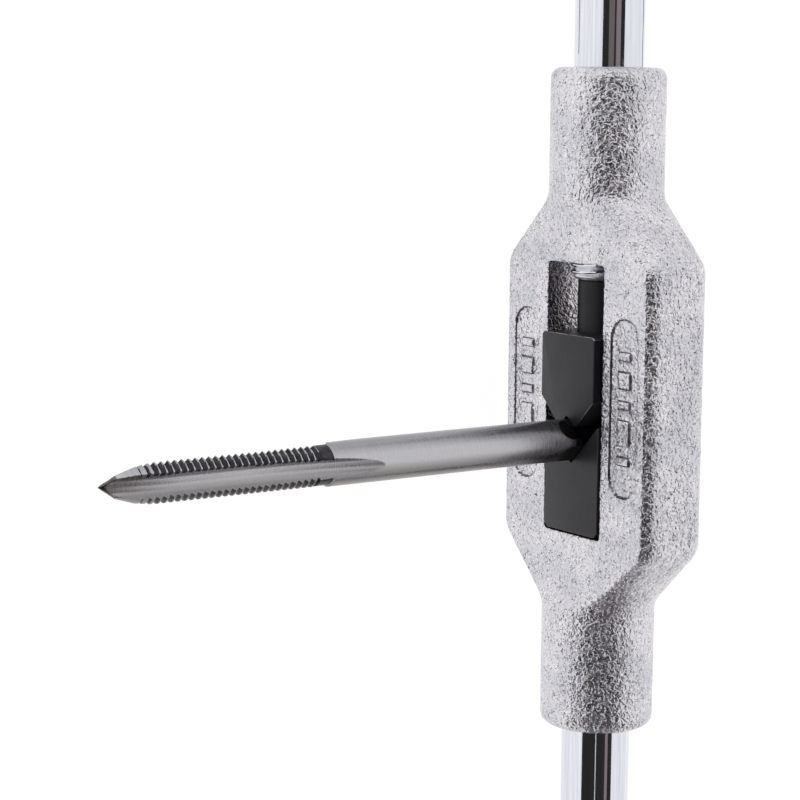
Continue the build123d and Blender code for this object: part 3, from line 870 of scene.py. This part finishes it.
# ---- jaws ----
JAW_EDGE = 0.16
JAW_EDGE_SEGMENTS = 3
SEAT_GAP = 0.25
SPIGOT_OVERLAP = 1.0
CUTTER_SEGMENTS = 72
CUTTER_OVERRUN = 2.0
FACING = 0.95                 # a face's normal this far along an axis faces it
TILTED = 0.3                  # and this far, it leans towards it
FIXED_JAW_BACK_CHAMFER = 0.8
MOVABLE_JAW_BACK_CHAMFER = 0.4
FIXED_JAW_TIP_X = -2.3
MOVABLE_JAW_TIP_X = -2.0
MOVABLE_JAW_TIP_HALF_WIDTH = 2.0


def mirrored(outline):
    """An outline in (x, z) from its +Z half, listed from the axis outwards and back."""
    return outline + [(x, -z) for x, z in reversed(outline) if z != 0]


def jaw_mesh(name, outline, half_thickness, cutters):
    """A jaw block with softly broken edges, less its holes."""
    shape = bmesh.new()
    front = [shape.verts.new((x, -half_thickness, z)) for x, z in outline]
    face = shape.faces.new(front)
    grown = bmesh.ops.extrude_face_region(shape, geom=[face])
    moved = [item for item in grown["geom"] if isinstance(item, bmesh.types.BMVert)]
    bmesh.ops.translate(shape, verts=moved, vec=(0, 2 * half_thickness, 0))
    bmesh.ops.recalc_face_normals(shape, faces=shape.faces)
    bmesh.ops.bevel(
        shape, geom=list(shape.edges), offset=JAW_EDGE, segments=JAW_EDGE_SEGMENTS,
        profile=0.5, affect="EDGES", clamp_overlap=True,
    )
    bmesh.ops.scale(shape, vec=(MM, MM, MM), verts=shape.verts)
    mesh = bpy.data.meshes.new(name + "_block")
    shape.to_mesh(mesh)
    shape.free()
    block = link_object(name + "_block", mesh)
    tools = []
    for index, (points, faces) in enumerate(cutters):
        tool_name = f"{name}_cutter_{index}"
        tool = link_object(tool_name, mesh_mm(tool_name, points, faces))
        cut = block.modifiers.new(f"cut_{index}", "BOOLEAN")
        cut.operation = "DIFFERENCE"
        cut.solver = "EXACT"
        cut.object = tool
        tools.append(tool)
    depsgraph = bpy.context.evaluated_depsgraph_get()
    result = bpy.data.meshes.new_from_object(block.evaluated_get(depsgraph))
    for used in [block, *tools]:
        bpy.data.objects.remove(used)
    return result


def straight_cutter(axis, start, end, radius, centre=(0.0, 0.0, 0.0)):
    """A plain round bar, to cut a hole with."""
    rows = np.full((2, CUTTER_SEGMENTS), radius)
    return turned_grid(axis, [start, end], rows, centre)


def finish_jaw(piece, highlit_edges):
    """Gives a jaw's sides painted shade and its broken edges a painted highlight, the second and third of
    its materials.
    """
    for face in piece.data.polygons:
        x, y, z = face.normal
        at_back = x < -TILTED
        at_nose = x > TILTED and z > TILTED
        if abs(z) > FACING:
            face.material_index = 1
        elif highlit_edges and y < -TILTED and (at_back or at_nose):
            face.material_index = 2


def make_movable_jaw(finishes):
    """The sliding jaw: chamfered, notched nose, and the bore that the stem turns in."""
    half_width = MOVABLE_HIGH.z
    back_x = MOVABLE_LOW.x
    outline = mirrored([
        (-V_APEX_X, 0.0),
        (MOVABLE_JAW_TIP_X, V_APEX_X + MOVABLE_JAW_TIP_X),
        (MOVABLE_JAW_TIP_X, MOVABLE_JAW_TIP_HALF_WIDTH),
        (MOVABLE_JAW_TIP_X - half_width + MOVABLE_JAW_TIP_HALF_WIDTH, half_width),
        (back_x + MOVABLE_JAW_BACK_CHAMFER, half_width),
        (back_x, half_width - MOVABLE_JAW_BACK_CHAMFER),
    ])
    low, high = box_mm("jaw_retaining_pins")
    pin_radius = (high.x - low.x) / 2
    bore_radius = STEM_HIGH.z + RUNNING_GAP
    cutters = [straight_cutter("X", back_x - CUTTER_OVERRUN, STEM_HIGH.x + RUNNING_GAP, bore_radius)]
    for side in (-1, 1):
        centre = ((low.x + high.x) / 2, side * (high.y - pin_radius), 0.0)
        cutters.append(straight_cutter("Z", -2 * half_width, 2 * half_width, pin_radius + FIT_GAP, centre))
    mesh = jaw_mesh("movable_jaw", outline, MOVABLE_HIGH.y, cutters)
    piece = finish_piece("sliding_jaw", mesh, finishes, "movable_jaw", "movable_jaw")
    # Painted shade on its sides, painted highlight on its broken edges.
    finish_jaw(piece, True)


def make_fixed_jaw(finishes):
    """The seated jaw with its right-angled V and round spigot."""
    half_width = FIXED_JAW_HIGH.z
    seat_x = WINDOW_CENTRE_X + WINDOW_LENGTH / 2
    outline = mirrored([
        (V_APEX_X, 0.0),
        (FIXED_JAW_TIP_X, V_APEX_X - FIXED_JAW_TIP_X),
        (FIXED_JAW_TIP_X, half_width),
        (seat_x - SEAT_GAP - FIXED_JAW_BACK_CHAMFER, half_width),
        (seat_x - SEAT_GAP, half_width - FIXED_JAW_BACK_CHAMFER),
    ])
    mesh = jaw_mesh("fixed_jaw", outline, FIXED_JAW_HIGH.y, [])
    spigot_start = seat_x - SPIGOT_OVERLAP
    spigot = mesh_mm("spigot", *pin_grid("X", spigot_start, FIXED_JAW_HIGH.x, FIXED_JAW_SPIGOT_RADIUS))
    joined = bmesh.new()
    joined.from_mesh(mesh)
    joined.from_mesh(spigot)
    joined.to_mesh(mesh)
    joined.free()
    piece = finish_piece("seated_jaw", mesh, finishes, "frame", "fixed_jaw")
    # Painted shade on its sides.
    finish_jaw(piece, False)


# ---- tap ----
TAP_SEGMENTS = 240
TAP_STATIONS_PER_TURN = 12
TAP_THREAD_START_Y = -47.7
TAP_BAND_END_Y = -49.7
TAP_BAND_RADIUS = 2.75
TAP_THREAD_RADIUS = 2.82
TAP_THREAD_DEPTH = 0.50
TAP_GROOVE_SLOT_DEPTH = 0.10
TAP_LEAD_START_Y = -73.8
TAP_FIRST_THREAD_Y = -76.4
TAP_FIRST_THREAD_RADIUS = 2.45
TAP_POINT_Y = -79.2
TAP_POINT_RADIUS = 1.6
TAP_SQUARE = 4.86
TAP_SQUARE_END_Y = -7.1
TAP_REAR_CHAMFER = 0.5
SQUARE_CUTTER_RADIUS = 5.0
FLUTE_COUNT = 3
FLUTE_RADIUS = 1.7
FLUTE_CENTRE_RADIUS = 2.85
FLUTE_STRAIGHT_END_Y = -61.0
FLUTE_RUNOUT_RADIUS = 120.0
FLUTE_PHASE = 95.0
FLUTE_NOSE_Y = -70.0
FLUTE_NOSE_CURVE = 0.0065       # the flutes deepen towards the point
NO_CUT = 10.0                   # a radius clear of the tap
TAP_CREASE = 30.0               # degrees
TAP_CREST_FLAT = 1.05
FLUTE_TAIL = 12.0               # how far the flutes run on past the thread
SQUARE_TAIL = 3.0               # and the flats of the square into the shank
BAND_FACE = 0.02
LEAST_RADIUS = 0.01


def square_end_radius(y, turn):
    """Radius to the four flats of the driving square, which run out of the shank on an arc."""
    past = np.clip(TAP_SQUARE_END_Y - y, 0, None)
    rise = SQUARE_CUTTER_RADIUS - np.sqrt(np.clip(SQUARE_CUTTER_RADIUS ** 2 - past ** 2, 0, None))
    rise = np.where(past >= SQUARE_CUTTER_RADIUS, NO_CUT, rise)
    off_flat = (turn % (math.pi / 2)) - math.pi / 4
    return (TAP_SQUARE / 2 + rise) / np.cos(off_flat)


def flute_radius(y, turn):
    """Radius to the bottom of the nearest flute, or a large number clear of the flutes."""
    run = np.clip(y - FLUTE_STRAIGHT_END_Y, 0, None)
    centre = FLUTE_CENTRE_RADIUS + run ** 2 / (2 * FLUTE_RUNOUT_RADIUS)
    centre = centre - FLUTE_NOSE_CURVE * np.clip(FLUTE_NOSE_Y - y, 0, None) ** 2
    spacing = 2 * math.pi / FLUTE_COUNT
    phase = math.radians(FLUTE_PHASE - 90)
    off = (turn - phase + spacing / 2) % spacing - spacing / 2
    across = centre * np.sin(off)
    inside = FLUTE_RADIUS ** 2 - across ** 2
    reach = centre * np.cos(off) - np.sqrt(np.clip(inside, 0, None))
    return np.where(inside > 0, reach, NO_CUT)


def tap_thread_radius(y, turn):
    """Radius of the tap's thread, before its lead is ground."""
    return thread_radius(y, turn, TAP_THREAD_RADIUS, TAP_THREAD_DEPTH, TAP_CREST_FLAT)


def tap_land_radius(y, turn):
    """Radius of the tap as turned and threaded, before its flutes and square."""
    shank = TAP_HIGH.z
    rear = shank - np.clip(y - (TAP_HIGH.y - TAP_REAR_CHAMFER), 0, None)
    outline_y = [TAP_LOW.y, TAP_POINT_Y, TAP_FIRST_THREAD_Y, TAP_LEAD_START_Y, TAP_BAND_END_Y]
    outline_r = [0.0, TAP_POINT_RADIUS, TAP_FIRST_THREAD_RADIUS, TAP_THREAD_RADIUS, TAP_THREAD_RADIUS]
    envelope = np.interp(y, outline_y, outline_r)
    thread = tap_thread_radius(y, turn)
    threaded = (y > TAP_FIRST_THREAD_Y) & (y < TAP_BAND_END_Y)
    front = np.where(threaded, np.minimum(envelope, thread), envelope)
    front = np.where(y >= TAP_BAND_END_Y, TAP_BAND_RADIUS, front)
    return np.where(y >= TAP_THREAD_START_Y, rear, front)


def tap_stations():
    """Stations from the point to the rear, close together where the shape changes."""
    parts = [
        steps(TAP_LOW.y, TAP_POINT_Y, 0.35),
        steps(TAP_POINT_Y, TAP_FIRST_THREAD_Y, 0.4),
        steps(TAP_FIRST_THREAD_Y, TAP_BAND_END_Y, THREAD_PITCH / TAP_STATIONS_PER_TURN),
        steps(TAP_BAND_END_Y, TAP_THREAD_START_Y - BAND_FACE, 0.3),
        steps(TAP_THREAD_START_Y - BAND_FACE / 2, TAP_THREAD_START_Y + FLUTE_TAIL, 0.2),
        steps(TAP_THREAD_START_Y + FLUTE_TAIL, TAP_SQUARE_END_Y - SQUARE_TAIL, 3.0),
        steps(TAP_SQUARE_END_Y - SQUARE_TAIL, TAP_SQUARE_END_Y, 0.15),
        steps(TAP_SQUARE_END_Y, TAP_HIGH.y - TAP_REAR_CHAMFER, 2.0),
        [TAP_HIGH.y - TAP_REAR_CHAMFER, TAP_HIGH.y],
    ]
    return np.concatenate(parts)


def make_tap(ground, tap_shade_metal, point_metal):
    """Three-flute hand tap with a real helical thread, in three materials, one of them mostly painted shade.
    """
    stations = tap_stations()
    y = stations[:, None]
    turn = np.linspace(0, 2 * math.pi, TAP_SEGMENTS, endpoint=False)[None, :]
    land = tap_land_radius(y, turn)
    flute = flute_radius(y, turn)
    square = square_end_radius(y, turn)
    radius = np.maximum(np.minimum(np.minimum(land, flute), square), LEAST_RADIUS)
    piece = add_piece(
        "hand_tap", *turned_grid("Y", stations, radius), [ground, tap_shade_metal, point_metal],
        "tap", "tool_steel", "tap", TAP_CREASE,
    )
    middle_y = (stations[:-1] + stations[1:]) / 2
    in_flute = (flute < land)[:-1] & (flute < land)[1:]
    in_thread = (middle_y > TAP_FIRST_THREAD_Y) & (middle_y < TAP_BAND_END_Y)
    in_band = (middle_y > TAP_BAND_END_Y) & (middle_y < TAP_THREAD_START_Y - BAND_FACE)
    thread = tap_thread_radius(middle_y[:, None], turn)
    lead_y = [TAP_FIRST_THREAD_Y, TAP_LEAD_START_Y]
    envelope = np.interp(middle_y, lead_y, [TAP_FIRST_THREAD_RADIUS, TAP_THREAD_RADIUS])
    in_groove = in_thread[:, None] & (thread < envelope[:, None] - TAP_GROOVE_SLOT_DEPTH)
    near_square = (middle_y > TAP_SQUARE_END_Y - SQUARE_CUTTER_RADIUS)[:, None]
    on_square = (square < land)[:-1] & (square < land)[1:] & near_square
    past_shank = (middle_y > TAP_SQUARE_END_Y)[:, None]
    # Painted shade goes in the thread's roots and on the square and end that sit in the jaws; the plain band
    # is dark too.
    dark = (in_groove | in_band[:, None]) & ~in_flute
    slots = np.where(dark | on_square | past_shank, 1, 0)
    slots = np.where((middle_y < TAP_POINT_Y)[:, None] & ~in_flute, 2, slots)
    give_finishes(piece, slots)


# ---- build the object ----
chrome = polished_chrome()
black = black_oxide("black_oxide", 0.48)
pin_steel = drawn_steel()
make_body_casting(cast_metal(), shaded_window_wall(), painted_edge_shade())
tap_shade_steel = shaded_tap_steel()
make_adjusting_handle(chrome, bright_thread_steel())
make_fixed_handle(chrome)
make_swivel_stem(black_oxide("black_oxide_stem", 0.25))
# The jaws' black, a painted-shade copy of it for their sides, and a painted highlight for their edges.
jaw_materials = [black, shaded_black_oxide(), edge_highlight_steel()]
make_movable_jaw(jaw_materials)
make_fixed_jaw(jaw_materials)
make_retaining_pins(pin_steel)
make_cross_pin("fixed_jaw_pin", pin_steel)
make_cross_pin("fixed_handle_pin", pin_steel)
make_tap(ground_steel(), tap_shade_steel, heat_tinted_steel())


# ---- studio ----
FLOOR_HALF_SIZE = 3.0
FLOOR_COLOUR = (0.08, 0.08, 0.08)
FLOOR_GLOW = 0.94
SKY_STRENGTH = 1.0


def make_floor():
    """A plain pale table, lit softly from below like a light table."""
    half = FLOOR_HALF_SIZE
    height = BODY_LOW.z * MM
    mesh = bpy.data.meshes.new("floor")
    corners = [(-half, -half, height), (half, -half, height), (half, half, height), (-half, half, height)]
    mesh.from_pydata(corners, [], [(0, 1, 2, 3)])
    floor = link_object("floor", mesh)
    paint = Paint("pale_floor", FLOOR_COLOUR, 0.0, 0.8)
    paint.shader.inputs["Emission Color"].default_value = (1.0, 1.0, 1.0, 1.0)
    paint.shader.inputs["Emission Strength"].default_value = FLOOR_GLOW
    mesh.materials.append(paint.material)


def make_sky():
    """An even white surround."""
    world = bpy.data.worlds.new("soft_white")
    bpy.context.scene.world = world
    world.use_nodes = True
    background = world.node_tree.nodes["Background"]
    background.inputs["Color"].default_value = (1.0, 1.0, 1.0, 1.0)
    background.inputs["Strength"].default_value = SKY_STRENGTH


# ---- camera ----
# The camera stands before the tap, to the +Z side of the body and level with its adjusting neck.
# Its picture has the handles upright, with the adjusting handle at the top.
CAMERA_PLACE = Vector((-49.55, -207.4, 248.9)) * MM
CAMERA_YAW = 55.38
CAMERA_PITCH = 7.86
CAMERA_ROLL = 0.483
CAMERA_LENS = 101.24
SENSOR_WIDTH = 36.0


def camera_axes():
    """Right, up and forward of the camera, from its angles to the front of the body."""
    yaw = math.radians(CAMERA_YAW)
    pitch = math.radians(CAMERA_PITCH)
    roll = math.radians(CAMERA_ROLL)
    level_right = Vector((0, math.sin(yaw), math.cos(yaw)))
    level_forward = Vector((0, math.cos(yaw), -math.sin(yaw)))
    handle_up = Vector((-1, 0, 0))
    forward = level_forward * math.cos(pitch) - handle_up * math.sin(pitch)
    plain_up = handle_up * math.cos(pitch) + level_forward * math.sin(pitch)
    right = level_right * math.cos(roll) + plain_up * math.sin(roll)
    up = plain_up * math.cos(roll) - level_right * math.sin(roll)
    return right, up, forward


def make_camera():
    right, up, forward = camera_axes()
    data = bpy.data.cameras.new("camera")
    data.lens = CAMERA_LENS
    data.sensor_width = SENSOR_WIDTH
    data.clip_start = 0.01
    data.clip_end = 50.0
    camera = link_object("camera", data)
    turn = Matrix((right, up, -forward)).transposed().to_4x4()
    camera.matrix_world = Matrix.Translation(CAMERA_PLACE) @ turn
    bpy.context.scene.camera = camera


# Dark cloth hung round the wrench, as (angle, angle, x, x, distance, colour): angles round the
# handles' axis from the front of the body, in degrees, and x and distance in metres.
BLACK_CLOTH = (0.010, 0.009, 0.009)
GREY_CLOTH = (0.15, 0.125, 0.12)
ROSE_CLOTH = (0.26, 0.20, 0.21)
BROWN_CLOTH = (0.13, 0.105, 0.10)
CLOTH_PANELS = (
    (27.5, 47.5, -0.17, -0.052, 0.30, BLACK_CLOTH),
    (47.5, 65.0, -0.17, -0.052, 0.30, GREY_CLOTH),
    (65.0, 71.0, -0.17, -0.052, 0.30, BLACK_CLOTH),
    (71.0, 86.0, -0.17, -0.052, 0.30, ROSE_CLOTH),
    (86.0, 99.5, -0.17, -0.052, 0.30, BLACK_CLOTH),
    (20.0, 92.0, -0.052, 0.08, 0.30, BLACK_CLOTH),
    (6.0, 51.4, 0.08, 0.28, 0.30, BLACK_CLOTH),
    (53.2, 84.0, 0.08, 0.28, 0.30, BLACK_CLOTH),
    (84.0, 93.0, 0.08, 0.28, 0.30, ROSE_CLOTH),
    (93.0, 108.0, 0.08, 0.28, 0.30, BLACK_CLOTH),
    (6.0, 115.0, 0.28, 0.95, 0.30, BROWN_CLOTH),
    (182.0, 187.0, -0.17, -0.05, 0.09, BLACK_CLOTH),
    (-57.0, -53.5, -0.17, -0.055, 0.018, GREY_CLOTH),
)
END_CLOTH_X = 0.95
END_CLOTH_RADIUS = 0.55
CLOTH_STRIPS = 12
END_CLOTH_SIDES = 48


def hang(name, points, faces, colour):
    """A dark sheet out of the camera's sight that only shows in reflections."""
    mesh = bpy.data.meshes.new(name)
    mesh.from_pydata(points, [], faces)
    cloth = link_object(name, mesh)
    mesh.materials.append(Paint(name, colour, 0.0, 0.9).material)
    cloth.visible_camera = False
    cloth.visible_diffuse = False
    cloth.visible_shadow = False


def make_cloth():
    """Strips of cloth that give the polished parts and rounded edges their dark lines."""
    for index, (low_angle, high_angle, low_x, high_x, distance, colour) in enumerate(CLOTH_PANELS):
        points = []
        for angle in np.radians(np.linspace(low_angle, high_angle, CLOTH_STRIPS + 1)):
            y = -distance * math.cos(angle)
            z = distance * math.sin(angle)
            points += [(low_x, y, z), (high_x, y, z)]
        faces = [(2 * i, 2 * i + 1, 2 * i + 3, 2 * i + 2) for i in range(CLOTH_STRIPS)]
        hang(f"cloth_{index}", points, faces, colour)
    rim = np.linspace(0, 2 * math.pi, END_CLOTH_SIDES, endpoint=False)
    radius = END_CLOTH_RADIUS
    end = [(END_CLOTH_X, radius * math.cos(turn), radius * math.sin(turn)) for turn in rim]
    hang("end_cloth", end, [list(range(END_CLOTH_SIDES))], BROWN_CLOTH)


make_floor()
make_sky()
make_camera()
make_cloth()
bpy.context.scene.view_settings.view_transform = "Standard"
